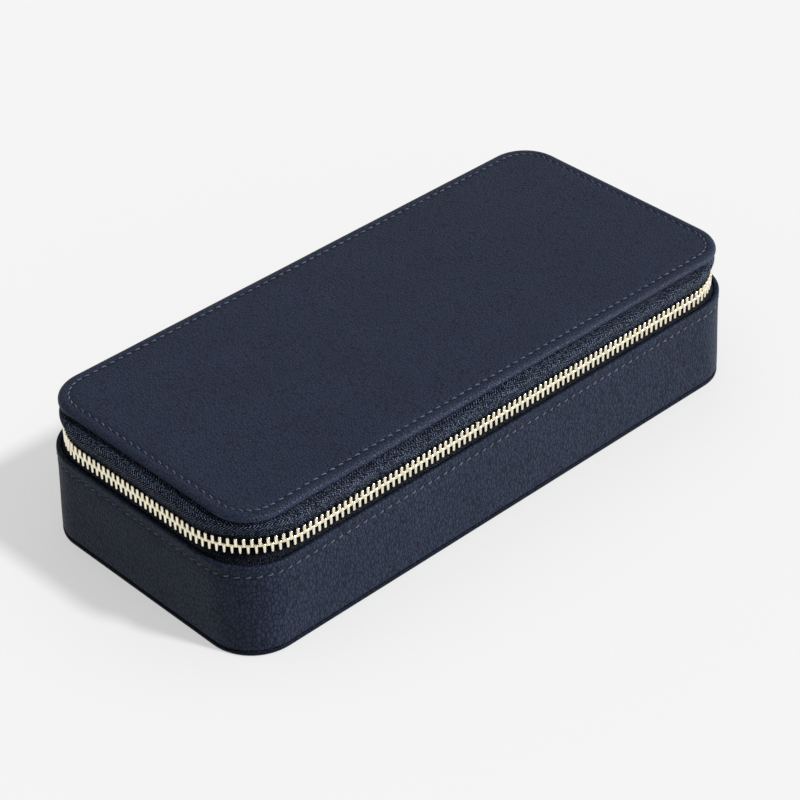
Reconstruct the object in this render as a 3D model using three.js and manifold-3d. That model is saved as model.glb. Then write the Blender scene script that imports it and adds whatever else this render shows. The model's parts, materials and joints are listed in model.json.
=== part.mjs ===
// A slim zipped jewellery case: a leather-wrapped box with a hinged lid, closed by a metal zip
// that runs round the front and both ends. Inside are ring rolls, compartments and a fitted lid.
// Millimetres, +Z up. The origin is the centre of the base's underside, +X runs along the case
// and +Y points to the back, where the leather hinge is.
import * as THREE from "three";
import { mergeVertices } from "three/addons/utils/BufferGeometryUtils.js";
import Module from "manifold-3d";

const wasm = await Module();
wasm.setup();

// ---------------------------------------------------------------- driving dimensions
const LENGTH = 240;
const WIDTH = 109;
const HEIGHT = 55;
const CORNER = 20; // outer corner radius of the wall
const DRAFT = 0.1; // how far the wall leans in at its foot
const BASE_THICKNESS = 1.7;
const RIM_Z = 36.1; // top edge of the leather wall
const ZIP_Z = 42.3; // centre line of the zip, and height of the hinge line
const LID_UNDER_Z = 52.6; // underside of the lid panel
const GAP = 0.3; // clearance between neighbouring pieces
const QUARTER = Math.PI / 2;
const ARC_STEPS = 7; // facets in a quarter turn of the wall

// Rounded rectangles that the layers follow. The zip is stiff, so it takes its corners wider.
const WALL = { length: LENGTH, width: WIDTH, radius: CORNER };
const ZIP = { length: LENGTH - 0.4, width: WIDTH + 0.2, radius: 27 }; // outer faces of the teeth
const LID = { length: 232.8, width: 104.6, radius: 15.1 };

// Layers of the wall, as depths inward from its outer face
const SKIN = 1.1; // leather
const HEM = 1.8; // leather folded over at the rim
const TUCKED_OUTER = 2.05; // zip tape where it is glued behind the hem
const TUCKED_INNER = 2.65;
const CORE_OUTER = 2.95; // board wall behind the tape
const CORE_INNER = 6.1;
const LINING_INNER = 7.35;
const LID_CORE_OUTER = 4.8;

// Layers of the zip, as depths inward from the outer faces of its teeth
const CHAIN_DEPTH = 1.2;
const TAPE_OUTER = 0.9;
const TAPE_INNER = 1.5;

// Heights of the layers
const BOARD_BOTTOM = 1.9;
const BOARD_TOP = 4.2;
const WALL_BOTTOM = 4.4;
const HEM_BOTTOM = 28;
const CORE_TOP = 35.2;
const LINING_TOP = 36.5;
const TAPE_BEND = 36.8; // where the tape turns in behind the hem
const FLOOR_Z = 7; // top of the padded floor
const LID_CORE_BOTTOM = 48;
const LID_CORE_TOP = 50.6;
const PAD_BOTTOM = 47.9; // underside of the lid's padded lining

// Lid panel
const LID_LEATHER_TOP = 0.9;
const LID_LEATHER_EDGE = 1;

// Zip
const PITCH = 2.51; // from tooth to tooth on one side
const TOOTH_WIDTH = 1;
const TOOTH_DEPTH = 2.4; // through the tape
const TOOTH_TIP = 0.55; // how far a tooth reaches past the zip's centre line
const TOOTH_ROOT = 2.9;
const SPINE_FROM = 1.7; // cord that the teeth are clamped to
const ZIP_TURN = THREE.MathUtils.degToRad(62); // how far the teeth run round the rear left corner
const TAPE_TURN = THREE.MathUtils.degToRad(84);
const STRIP_TURN = THREE.MathUtils.degToRad(86); // where the hinge strip takes over from the tape
const SLIDER_Y = 22; // where the slider is parked on the right-hand end
const SLIDER_HALF = 5; // half the slider's length
const SPREAD_NOSE = 1.3; // how far each row stands off the centre line at the slider's nose
const STOP_HALF = 0.9; // half a stop's length

// ---------------------------------------------------------------- materials
function material(colour, roughness, metalness = 0) {
  return new THREE.MeshStandardMaterial({ color: colour, roughness, metalness });
}
const leather = material(0x262c3a, 0.55);
const tapeCloth = material(0x1f2430, 0.85);
const gold = material(0xe6d6ae, 0.3, 1);
const board = material(0x9a8f7d, 0.9);
const velvet = material(0x8f8f93, 0.95);

// ---------------------------------------------------------------- solids
function toSolid(geometry) {
  const bare = geometry.clone();
  bare.deleteAttribute("normal");
  bare.deleteAttribute("uv");
  const merged = mergeVertices(bare, 1e-4);
  return new wasm.Manifold(
    new wasm.Mesh({
      numProp: 3,
      vertProperties: merged.attributes.position.array,
      triVerts: new Uint32Array(merged.index.array),
    }),
  );
}

function toGeometry(solid) {
  const mesh = solid.getMesh();
  return new THREE.BufferGeometry()
    .setAttribute("position", new THREE.BufferAttribute(mesh.vertProperties, 3))
    .setIndex(new THREE.BufferAttribute(mesh.triVerts, 1));
}

function join(geometries) {
  return toGeometry(geometries.map(toSolid).reduce((whole, next) => whole.add(next)));
}

function cut(geometry, ...tools) {
  return toGeometry(tools.map(toSolid).reduce((left, tool) => left.subtract(tool), toSolid(geometry)));
}

function common(a, b) {
  return toGeometry(toSolid(a).intersect(toSolid(b)));
}

function box(x0, x1, y0, y1, z0, z1) {
  return new THREE.BoxGeometry(x1 - x0, y1 - y0, z1 - z0).translate(
    (x0 + x1) / 2,
    (y0 + y1) / 2,
    (z0 + z1) / 2,
  );
}

function roundedRectangle(length, width, radius) {
  const x = length / 2 - radius;
  const y = width / 2 - radius;
  return new THREE.Shape()
    .absarc(x, y, radius, 0, QUARTER)
    .absarc(-x, y, radius, QUARTER, 2 * QUARTER)
    .absarc(-x, -y, radius, 2 * QUARTER, 3 * QUARTER)
    .absarc(x, -y, radius, 3 * QUARTER, 4 * QUARTER);
}

// A flat rounded plate between two heights, with its edges rounded over by `ease`.
function plate(length, width, radius, bottom, top, ease = 0) {
  return new THREE.ExtrudeGeometry(roundedRectangle(length, width, radius), {
    depth: top - bottom - 2 * ease,
    bevelEnabled: ease > 0,
    bevelThickness: ease,
    bevelSize: ease,
    bevelOffset: -ease,
    bevelSegments: 2,
    curveSegments: ARC_STEPS,
  }).translate(0, 0, bottom + ease);
}

// A plate that fits inside the wall at a depth.
function insetPlate(depth, bottom, top, ease) {
  return plate(LENGTH - 2 * depth, WIDTH - 2 * depth, CORNER - depth, bottom, top, ease);
}

// A shape drawn in (Y, Z), run along X from x0 to x1.
function runAlongX(shape, x0, x1, curveSegments = 4) {
  return new THREE.ExtrudeGeometry(shape, { depth: x1 - x0, bevelEnabled: false, curveSegments })
    .rotateZ(QUARTER)
    .rotateY(QUARTER)
    .translate(x0, 0, 0);
}

// ---------------------------------------------------------------- runs round the wall
// A corner of every outline: which one, and the angles it turns through.
function turn(sideX, sideY, from, to) {
  return { sideX, sideY, from, to };
}
const frontLeft = turn(-1, -1, 2 * QUARTER, 3 * QUARTER);
const frontRight = turn(1, -1, 3 * QUARTER, 4 * QUARTER);

function centreOf(corner, outline) {
  return new THREE.Vector2(
    corner.sideX * (outline.length / 2 - outline.radius),
    corner.sideY * (outline.width / 2 - outline.radius),
  );
}

// A run round the wall, counter-clockwise from above. It is given as its corners, and the
// straights between them follow. Distances along it are measured in the zip's own plane.
class Run {
  constructor(corners, closed = false) {
    this.closed = closed;
    this.length = 0;
    this.pieces = [];
    const bend = ZIP.radius - CHAIN_DEPTH;
    corners.forEach((corner, i) => {
      this.add(corner, corner, true, bend * (corner.to - corner.from));
      const next = corners[i + 1] ?? (closed ? corners[0] : null);
      if (next) this.add(corner, next, false, centreOf(corner, ZIP).distanceTo(centreOf(next, ZIP)));
    });
  }

  add(corner, next, turning, size) {
    this.pieces.push({ corner, next, turning, size, start: this.length });
    this.length += size;
  }

  // The place at a distance along the run, which pointOn() finds on any outline.
  at(distance) {
    const piece = this.pieces.findLast((p) => p.start <= distance) ?? this.pieces[0];
    const share = (distance - piece.start) / piece.size;
    const { corner, next } = piece;
    const angle = piece.turning ? corner.from + share * (corner.to - corner.from) : corner.to;
    return { corner, next, share, angle };
  }

  // Distances between two places on the run at which a swept piece needs a station.
  stations(from = 0, to = this.length, extra = []) {
    const marks = this.pieces.flatMap((p) => {
      const turned = p.turning ? (p.corner.to - p.corner.from) / QUARTER : 0;
      const steps = Math.max(1, Math.round(ARC_STEPS * turned));
      return Array.from({ length: steps }, (_, i) => p.start + (p.size * i) / steps);
    });
    const inside = [...marks, ...extra].filter((s) => s > from + 0.01 && s < to - 0.01);
    const ends = this.closed ? [from] : [from, to];
    return [...ends, ...inside].sort((a, b) => a - b);
  }
}

function pointOn(place, depth, z, outline = WALL) {
  const centre = centreOf(place.corner, outline).lerp(centreOf(place.next, outline), place.share);
  const reach = outline.radius - depth;
  return new THREE.Vector3(
    centre.x + reach * Math.cos(place.angle),
    centre.y + reach * Math.sin(place.angle),
    z,
  );
}

// Sweeps a section, given as [depth, height, outline] points that may change along the run.
function sweep(run, stations, sectionAt) {
  const flat = (points) => points.map(([depth, z]) => new THREE.Vector2(-depth, z));
  const sections = stations.map((s) => {
    const points = sectionAt(s);
    return THREE.ShapeUtils.isClockWise(flat(points)) ? points.slice().reverse() : points;
  });
  const count = sections[0].length;
  const positions = stations.flatMap((s, i) => {
    const place = run.at(s);
    return sections[i].flatMap(([depth, z, outline]) => pointOn(place, depth, z, outline).toArray());
  });
  const index = [];
  const last = run.closed ? stations.length : stations.length - 1;
  for (let i = 0; i < last; i++) {
    const here = i * count;
    const there = ((i + 1) % stations.length) * count;
    for (let j = 0; j < count; j++) {
      const k = (j + 1) % count;
      index.push(here + j, there + j, there + k, here + j, there + k, here + k);
    }
  }
  if (!run.closed) {
    const far = (stations.length - 1) * count;
    for (const [a, b, c] of THREE.ShapeUtils.triangulateShape(flat(sections[0]), [])) {
      index.push(a, b, c, far + a, far + c, far + b);
    }
  }
  return new THREE.BufferGeometry()
    .setAttribute("position", new THREE.Float32BufferAttribute(positions, 3))
    .setIndex(index);
}

const wholeWall = new Run(
  [turn(1, 1, 0, QUARTER), turn(-1, 1, QUARTER, 2 * QUARTER), frontLeft, frontRight],
  true,
);

function ring(section) {
  return sweep(wholeWall, wholeWall.stations(), () => section);
}

// Round the left end, the front and the right end, starting and stopping part way round the rear
// corners.
function zipRun(angle) {
  const first = turn(-1, 1, 2 * QUARTER - angle, 2 * QUARTER);
  return new Run([first, frontLeft, frontRight, turn(1, 1, 0, angle)]);
}
const chain = zipRun(ZIP_TURN);
const tapeRun = zipRun(TAPE_TURN);
const TAPE_LEAD = (tapeRun.length - chain.length) / 2; // tape before the first tooth
const RIGHT_START = chain.pieces[5].start; // where the straight of the right-hand end begins
const SLIDER_AT = RIGHT_START + SLIDER_Y + ZIP.width / 2 - ZIP.radius;
const CHAIN_END = SLIDER_AT + SLIDER_HALF - 0.5; // the last tooth is inside the slider's nose

// How far each row stands off the centre line: meshed up to the slider, apart in its nose.
function spread(distance) {
  const opening = THREE.MathUtils.smoothstep(distance, SLIDER_AT - 1.5, SLIDER_AT + 2.2);
  const closing = THREE.MathUtils.smoothstep(distance, CHAIN_END + 3, CHAIN_END + 22);
  return opening * SPREAD_NOSE * (1 - closing);
}
const SPREAD_MARKS = [-1.5, -0.6, 0.4, 1.3, 2.2].map((s) => SLIDER_AT + s);
const CLOSING_MARKS = [3, 8, 12.5, 17, 22].map((s) => CHAIN_END + s);

// ---------------------------------------------------------------- the case
function wallLeather() {
  return ring([
    [DRAFT, BOARD_BOTTOM],
    [0, RIM_Z - 0.6],
    [0.2, RIM_Z - 0.15],
    [0.6, RIM_Z],
    [HEM - 0.6, RIM_Z],
    [HEM - 0.2, RIM_Z - 0.15],
    [HEM, RIM_Z - 0.6],
    [HEM, HEM_BOTTOM],
    [SKIN, HEM_BOTTOM - 0.8],
    [SKIN + DRAFT, BOARD_BOTTOM],
  ]);
}

function wallCore() {
  return ring([
    [SKIN + DRAFT + GAP, WALL_BOTTOM],
    [SKIN + GAP + 0.05, HEM_BOTTOM - 1.4],
    [CORE_OUTER, HEM_BOTTOM - 0.4],
    [CORE_OUTER, CORE_TOP],
    [CORE_INNER, CORE_TOP],
    [CORE_INNER, WALL_BOTTOM],
  ]);
}

function wallLining() {
  const turnover = CORE_OUTER + 0.35; // outer edge of the lining's turned-over top
  return ring([
    [CORE_INNER + 0.25, WALL_BOTTOM],
    [CORE_INNER + 0.25, CORE_TOP + GAP],
    [turnover, CORE_TOP + GAP],
    [turnover, LINING_TOP - 0.4],
    [turnover + 0.4, LINING_TOP],
    [LINING_INNER - 0.45, LINING_TOP],
    [LINING_INNER, LINING_TOP - 0.4],
    [LINING_INNER, WALL_BOTTOM],
  ]);
}

// The tape comes up from behind the hem and turns out to the teeth.
const TUCK = [
  [TUCKED_OUTER, HEM_BOTTOM + 0.2, WALL],
  [TUCKED_OUTER, RIM_Z - 0.2, WALL],
  [TAPE_OUTER, TAPE_BEND, ZIP],
];
const TUCK_BACK = [
  [TAPE_INNER, TAPE_BEND + 0.3, ZIP],
  [TUCKED_INNER, RIM_Z + 0.2, WALL],
  [TUCKED_INNER, HEM_BOTTOM + 0.2, WALL],
];

// Above the teeth it swells out, and then runs in under the lid panel.
const SWELL = [
  [TAPE_OUTER, 48.1, ZIP],
  [0.3, 48.7, ZIP],
  [-0.1, 49.6, ZIP],
  [0.2, 50.6, ZIP],
  [0.6, 51.6, LID],
  [1.8, 52, LID],
];
const SWELL_BACK = [
  [1.8, 51.45, LID],
  [1.2, 51.05, LID],
  [0.9, 50.3, ZIP],
  [0.5, 49.6, ZIP],
  [0.9, 49, ZIP],
  [TAPE_INNER, 48.4, ZIP],
];

// The two sides of the tape. `edge` is the height where each meets the teeth.
function lowerTapeSection(edge) {
  return [...TUCK, [TAPE_OUTER, edge, ZIP], [TAPE_INNER, edge, ZIP], ...TUCK_BACK];
}

function upperTapeSection(edge) {
  return [[TAPE_OUTER, edge, ZIP], ...SWELL, ...SWELL_BACK, [TAPE_INNER, edge, ZIP]];
}

// The tape stops short of the teeth's cord. Past the stops, its edge reaches nearly to the middle.
const STOP_GAP = 1; // between the end of the teeth and a stop
const STOPS = [-2 * STOP_HALF - STOP_GAP - 0.3, CHAIN_END + 2 * STOP_HALF + STOP_GAP + 0.3];
function tapeEdge(alongTape) {
  const distance = alongTape - TAPE_LEAD;
  const toothed = distance > STOPS[0] && distance < STOPS[1];
  return spread(distance) + (toothed ? TOOTH_ROOT + GAP : GAP);
}
const TAPE_STATIONS = tapeRun.stations(
  0,
  tapeRun.length,
  [...SPREAD_MARKS, ...CLOSING_MARKS, ...STOPS.flatMap((s) => [s - 0.2, s + 0.2])].map(
    (s) => s + TAPE_LEAD,
  ),
);

function lowerTape() {
  return sweep(tapeRun, TAPE_STATIONS, (s) => lowerTapeSection(ZIP_Z - tapeEdge(s)));
}

function upperTape() {
  return sweep(tapeRun, TAPE_STATIONS, (s) => upperTapeSection(ZIP_Z + tapeEdge(s)));
}

// The leather hinge carries on across the back in the tape's place.
function hingeStrip() {
  const rightCorner = turn(1, 1, STRIP_TURN, QUARTER);
  const leftCorner = turn(-1, 1, QUARTER, 2 * QUARTER - STRIP_TURN);
  const back = new Run([rightCorner, leftCorner]);
  return sweep(back, back.stations(), () => [...TUCK, ...SWELL, ...SWELL_BACK, ...TUCK_BACK]);
}

// A row of teeth on its cord. `side` is +1 for the lid's row and -1 for the case's.
function toothRow(side, from, to) {
  const cord = sweep(chain, chain.stations(from, to, SPREAD_MARKS), (s) => {
    const root = ZIP_Z + side * (spread(s) + TOOTH_ROOT);
    const inner = ZIP_Z + side * (spread(s) + SPINE_FROM);
    return [
      [TAPE_OUTER, inner, ZIP],
      [TAPE_OUTER, root, ZIP],
      [TAPE_INNER, root, ZIP],
      [TAPE_INNER, inner, ZIP],
    ];
  });
  const teeth = [];
  const first = side > 0 ? PITCH : PITCH / 2;
  for (let s = first; s < to - TOOTH_WIDTH / 2; s += PITCH) {
    if (s < from + TOOTH_WIDTH / 2) continue;
    const place = chain.at(s);
    const middle = (TOOTH_ROOT - TOOTH_TIP) / 2;
    const centre = pointOn(place, CHAIN_DEPTH, ZIP_Z + side * (spread(s) + middle), ZIP);
    teeth.push(
      new THREE.BoxGeometry(TOOTH_DEPTH, TOOTH_WIDTH, TOOTH_ROOT + TOOTH_TIP)
        .rotateZ(place.angle)
        .translate(...centre),
    );
  }
  return join([cord, ...teeth]);
}

// A stop crimped on the tape, between two heights off the centre line.
function zipStop(distance, low, high) {
  const place = chain.at(distance);
  return new THREE.BoxGeometry(2.6, 2 * STOP_HALF, high - low)
    .rotateZ(place.angle)
    .translate(...pointOn(place, CHAIN_DEPTH, ZIP_Z + (low + high) / 2, ZIP));
}

// ---------------------------------------------------------------- slider and pull, on their own origin
const PLATE_INSIDE = 1.45; // slider plates, measured out from the middle of the tape
const PLATE_OUTSIDE = 2.55;
const SLOT = 0.55; // half the slot that the tape runs in
const NOSE_HALF = 5.3;
const TAIL_HALF = 3.95;
const FLANGE = 0.65;
const POST_HALF = 0.45;
const PIN_OUT = 4.4; // axis of the pull's pin
const PIN_RADIUS = 0.6;

// The slider's outline in (Y, Z): narrow at the tail, wide at the nose.
function sliderOutline(inset) {
  const tail = TAIL_HALF - inset;
  const nose = NOSE_HALF - inset;
  return new THREE.Shape([
    new THREE.Vector2(-SLIDER_HALF, -tail),
    new THREE.Vector2(-1.5, -tail),
    new THREE.Vector2(2.2, -nose),
    new THREE.Vector2(SLIDER_HALF, -nose),
    new THREE.Vector2(SLIDER_HALF, nose),
    new THREE.Vector2(2.2, nose),
    new THREE.Vector2(-1.5, tail),
    new THREE.Vector2(-SLIDER_HALF, tail),
  ]);
}

function sliderBody() {
  const shell = runAlongX(sliderOutline(0), -PLATE_OUTSIDE, PLATE_OUTSIDE);
  const throat = runAlongX(sliderOutline(FLANGE), -PLATE_INSIDE, PLATE_INSIDE);
  const openEnds = [
    box(-PLATE_INSIDE, PLATE_INSIDE, -6, -4, FLANGE - TAIL_HALF, TAIL_HALF - FLANGE),
    box(-PLATE_INSIDE, PLATE_INSIDE, 4, 6, FLANGE - NOSE_HALF, NOSE_HALF - FLANGE),
  ];
  const tapeSlot = box(-SLOT, SLOT, -6, 6, -6, 6);
  const post = box(-PLATE_INSIDE - 0.2, PLATE_INSIDE + 0.2, 2.8, 4.4, -POST_HALF, POST_HALF);
  const legs = [-1, 1].map((end) =>
    box(PLATE_OUTSIDE - 0.2, PIN_OUT + 0.9, end * 2.5 - 0.6, end * 2.5 + 0.6, -0.9, 0.9),
  );
  const pin = new THREE.CylinderGeometry(PIN_RADIUS, PIN_RADIUS, 5, 12).translate(PIN_OUT, 0, 0);
  return join([cut(shell, throat, ...openEnds, tapeSlot), post, ...legs, pin]);
}

// The pull hangs from a rolled eye on the slider's pin.
function pullTab() {
  const eyeOuter = 1.5;
  const eyeHalf = 1.6;
  const blade = new THREE.Shape()
    .moveTo(-1.5, -0.9)
    .lineTo(-2.2, -5)
    .lineTo(-3.2, -19)
    .absarc(0, -20.4, 3.2, 2 * QUARTER, 4 * QUARTER)
    .lineTo(2.2, -5)
    .lineTo(1.5, -0.9);
  const half = 0.5;
  const eye = new THREE.CylinderGeometry(eyeOuter, eyeOuter, 2 * eyeHalf, 12);
  const bore = new THREE.CylinderGeometry(PIN_RADIUS + 0.25, PIN_RADIUS + 0.25, 5, 12);
  return cut(join([runAlongX(blade, -half, half, 8), eye]), bore);
}

// ---------------------------------------------------------------- lining and fittings
const CAVITY = LINING_INNER + GAP;
const CAVITY_X = LENGTH / 2 - CAVITY;
const CAVITY_Y = WIDTH / 2 - CAVITY;
const ROLL_COUNT = 6;
const ROLL_PITCH = 12.4;
const ROLL_WIDTH = 12.1;
const ROLL_TOP = 23;
const DIVIDER = 2.6;
const DIVIDER_TOP = 33.5;
const RING_DIVIDER_X = -CAVITY_X + ROLL_COUNT * ROLL_PITCH + DIVIDER / 2;

// A soft roll that rings are pushed between, rounded on top and squared to the case's corners.
function ringRoll(index) {
  const radius = ROLL_WIDTH / 2;
  const bottom = FLOOR_Z + 0.2;
  const profile = new THREE.Shape()
    .moveTo(-radius + 1, bottom)
    .lineTo(radius - 1, bottom)
    .lineTo(radius, bottom + 1.5)
    .absarc(0, ROLL_TOP - radius, radius, 0, 2 * QUARTER)
    .lineTo(-radius, bottom + 1.5);
  const x = -CAVITY_X + (index + 0.5) * ROLL_PITCH;
  const roll = runAlongX(profile, -CAVITY_Y, CAVITY_Y, 4).rotateZ(QUARTER).translate(x, 0, 0);
  return common(roll, insetPlate(CAVITY, 0, HEIGHT));
}

// A padded divider with a rounded top, centred on its own length along X.
function divider(length) {
  const half = DIVIDER / 2;
  const profile = new THREE.Shape()
    .moveTo(-half, FLOOR_Z + 0.2)
    .lineTo(half, FLOOR_Z + 0.2)
    .absarc(0, DIVIDER_TOP - half, half, 0, 2 * QUARTER);
  return runAlongX(profile, -length / 2, length / 2, 4);
}

const CLEAR_OF_DIVIDER = DIVIDER / 2 + GAP;
const BAY_START = RING_DIVIDER_X + CLEAR_OF_DIVIDER;
const LENGTHWISE = CAVITY_X - BAY_START;
const CROSSWISE = CAVITY_Y - CLEAR_OF_DIVIDER;
const CROSS_FRONT_X = BAY_START + LENGTHWISE / 2;
const CROSS_REAR_X = BAY_START + LENGTHWISE * 0.66;

// ---------------------------------------------------------------- the lid
function lidPlate(depth, bottom, top, ease) {
  return plate(LID.length - 2 * depth, LID.width - 2 * depth, LID.radius - depth, bottom, top, ease);
}

function lidLeather() {
  const panel = lidPlate(0, LID_UNDER_Z, HEIGHT, 0.8);
  return cut(panel, lidPlate(LID_LEATHER_EDGE, LID_UNDER_Z - 1, HEIGHT - LID_LEATHER_TOP));
}

function lidBoard() {
  return lidPlate(LID_LEATHER_EDGE + 0.25, LID_UNDER_Z, HEIGHT - LID_LEATHER_TOP - 0.15);
}

function lidRimCore() {
  return ring([
    [LID_CORE_OUTER, LID_CORE_BOTTOM],
    [LID_CORE_OUTER, 49.6],
    [5.5, LID_CORE_TOP],
    [CORE_INNER, LID_CORE_TOP],
    [CORE_INNER, LID_CORE_BOTTOM],
  ]);
}

const FITTING_TOP = PAD_BOTTOM - 0.2; // fittings lie under the padded lining
const HOOK_COUNT = 5;
const HOOK_PITCH = 35;
const HOOK_Y = -36;
const FITTING_LENGTH = 176;
const POCKET_MOUTH_Y = 2;
const POCKET_END_Y = 42;

function hookStrip() {
  return plate(FITTING_LENGTH, 12, 3, FITTING_TOP - 1.3, FITTING_TOP).translate(0, HOOK_Y, 0);
}

// A stamped hook, drawn in (Y, Z) below the strip. Its tip points to the front, which is upwards
// when the lid stands open.
function necklaceHook() {
  const thick = 0.9;
  const bend = 1.8; // outer radius of the turn
  const arm = -3.6; // height at which the arm starts to turn
  return new THREE.Shape()
    .moveTo(3, 0)
    .lineTo(-3, 0)
    .lineTo(-3, -thick)
    .lineTo(2 - thick, -thick)
    .absarc(2 - bend, arm, bend - thick, 0, -QUARTER, true)
    .lineTo(-2.6, arm - bend + thick)
    .lineTo(-2.6, arm - bend)
    .absarc(2 - bend, arm, bend, -QUARTER, 0)
    .lineTo(2, -thick)
    .lineTo(3, -thick);
}

function pocket() {
  const depth = POCKET_END_Y - POCKET_MOUTH_Y - 2;
  return plate(FITTING_LENGTH, depth, 6, FITTING_TOP - 2.2, FITTING_TOP, 0.8).translate(
    0,
    POCKET_END_Y - depth / 2,
    0,
  );
}

function pocketBand() {
  const half = 1.4;
  return plate(FITTING_LENGTH, 2 * half, half - 0.1, FITTING_TOP - 2.8, FITTING_TOP, 0.6).translate(
    0,
    POCKET_MOUTH_Y,
    0,
  );
}

// ---------------------------------------------------------------- assembly
const jewelleryCase = new THREE.Group();
const lid = new THREE.Group();
const zipSlider = new THREE.Group();
const zipPull = new THREE.Group();
jewelleryCase.add(lid, zipSlider);
zipSlider.add(zipPull);
zipSlider.position.set(ZIP.length / 2 - CHAIN_DEPTH, SLIDER_Y, ZIP_Z);
zipPull.position.set(PIN_OUT, 0, 0);

function add(parent, name, geometry, finish) {
  const mesh = new THREE.Mesh(geometry, finish);
  mesh.name = name;
  parent.add(mesh);
  return mesh;
}

function buildCase() {
  add(jewelleryCase, "base_panel", insetPlate(DRAFT, 0, BASE_THICKNESS, 0.4), leather);
  add(jewelleryCase, "base_board", insetPlate(SKIN + DRAFT + GAP, BOARD_BOTTOM, BOARD_TOP), board);
  add(jewelleryCase, "wall_leather", wallLeather(), leather);
  add(jewelleryCase, "wall_core", wallCore(), board);
  add(jewelleryCase, "wall_lining", wallLining(), velvet);
  add(jewelleryCase, "floor_pad", insetPlate(CAVITY, WALL_BOTTOM, FLOOR_Z, 0.5), velvet);
  add(jewelleryCase, "hinge_strip", hingeStrip(), leather);
}

function buildZip() {
  const split = RIGHT_START;
  add(jewelleryCase, "lower_zip_tape", lowerTape(), tapeCloth);
  add(jewelleryCase, "lower_teeth", toothRow(-1, 0, split - 0.15), gold);
  add(jewelleryCase, "lower_teeth_right", toothRow(-1, split + 0.15, CHAIN_END), gold);
  add(lid, "upper_zip_tape", upperTape(), tapeCloth);
  add(lid, "upper_teeth", toothRow(1, 0, split - 0.15), gold);
  const beforeSlider = SLIDER_AT - SLIDER_HALF - GAP;
  add(lid, "upper_teeth_right", toothRow(1, split + 0.15, beforeSlider), gold);
  const bottomStop = zipStop(-STOP_GAP - STOP_HALF, -TOOTH_ROOT, 0.6);
  add(jewelleryCase, "zip_bottom_stop", bottomStop, gold);
  const topStop = CHAIN_END + STOP_GAP + STOP_HALF;
  const reach = [SPREAD_NOSE, SPREAD_NOSE + TOOTH_ROOT];
  add(jewelleryCase, "zip_top_stop_lower", zipStop(topStop, -reach[1], -reach[0]), gold);
  add(lid, "zip_top_stop_upper", zipStop(topStop, ...reach), gold);
  add(zipSlider, "zip_slider", sliderBody(), gold);
  add(zipPull, "zip_pull", pullTab(), gold);
}

function buildInterior() {
  for (let i = 0; i < ROLL_COUNT; i++) {
    add(jewelleryCase, `ring_roll_${i + 1}`, ringRoll(i), velvet);
  }
  const ringDivider = add(jewelleryCase, "divider_ring_bay", divider(2 * CAVITY_Y), velvet);
  ringDivider.rotation.z = QUARTER;
  ringDivider.position.x = RING_DIVIDER_X;
  const lengthwise = add(jewelleryCase, "divider_lengthwise", divider(LENGTHWISE), velvet);
  lengthwise.position.x = BAY_START + LENGTHWISE / 2;
  for (const [name, x, side] of [
    ["divider_cross_front", CROSS_FRONT_X, -1],
    ["divider_cross_rear", CROSS_REAR_X, 1],
  ]) {
    const cross = add(jewelleryCase, name, divider(CROSSWISE), velvet);
    cross.rotation.z = QUARTER;
    cross.position.set(x, side * (CLEAR_OF_DIVIDER + CROSSWISE / 2), 0);
  }
}

function buildLid() {
  add(lid, "lid_leather", lidLeather(), leather);
  add(lid, "lid_board", lidBoard(), board);
  add(lid, "lid_rim_core", lidRimCore(), board);
  add(lid, "lid_pad", insetPlate(CORE_INNER + GAP, PAD_BOTTOM, LID_CORE_TOP + 0.9, 0.8), velvet);
  add(lid, "hook_strip", hookStrip(), leather);
  for (let i = 0; i < HOOK_COUNT; i++) {
    const hook = add(lid, `necklace_hook_${i + 1}`, runAlongX(necklaceHook(), -1.5, 1.5, 5), gold);
    hook.position.set((i - (HOOK_COUNT - 1) / 2) * HOOK_PITCH, HOOK_Y, FITTING_TOP - 1.3 - 0.2);
  }
  add(lid, "lid_pocket", pocket(), velvet);
  add(lid, "lid_pocket_band", pocketBand(), velvet);
}

buildCase();
buildZip();
buildInterior();
buildLid();

export default jewelleryCase;
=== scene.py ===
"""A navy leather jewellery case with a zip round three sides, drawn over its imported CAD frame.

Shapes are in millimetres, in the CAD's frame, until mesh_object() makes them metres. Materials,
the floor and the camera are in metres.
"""

import json
import math
import random

import bmesh
import bpy
import numpy as np
from mathutils import Matrix, Vector, noise


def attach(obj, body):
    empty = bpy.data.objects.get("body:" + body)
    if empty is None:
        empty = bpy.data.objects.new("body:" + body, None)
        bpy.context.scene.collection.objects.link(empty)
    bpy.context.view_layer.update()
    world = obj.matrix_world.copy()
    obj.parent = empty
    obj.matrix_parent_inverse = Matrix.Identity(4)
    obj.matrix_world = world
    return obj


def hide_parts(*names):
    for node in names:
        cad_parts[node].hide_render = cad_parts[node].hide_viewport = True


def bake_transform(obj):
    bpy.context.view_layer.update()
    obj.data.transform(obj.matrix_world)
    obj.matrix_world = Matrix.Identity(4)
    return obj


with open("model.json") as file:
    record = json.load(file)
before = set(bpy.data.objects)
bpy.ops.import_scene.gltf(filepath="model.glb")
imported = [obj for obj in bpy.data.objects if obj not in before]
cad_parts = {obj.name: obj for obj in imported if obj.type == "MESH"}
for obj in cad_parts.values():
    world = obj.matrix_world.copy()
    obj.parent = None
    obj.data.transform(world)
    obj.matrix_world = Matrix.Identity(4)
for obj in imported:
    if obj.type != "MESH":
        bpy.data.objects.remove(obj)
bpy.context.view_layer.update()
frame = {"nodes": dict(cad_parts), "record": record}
rng = random.Random(7)

MM = 0.001
QUARTER = math.pi / 2

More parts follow.
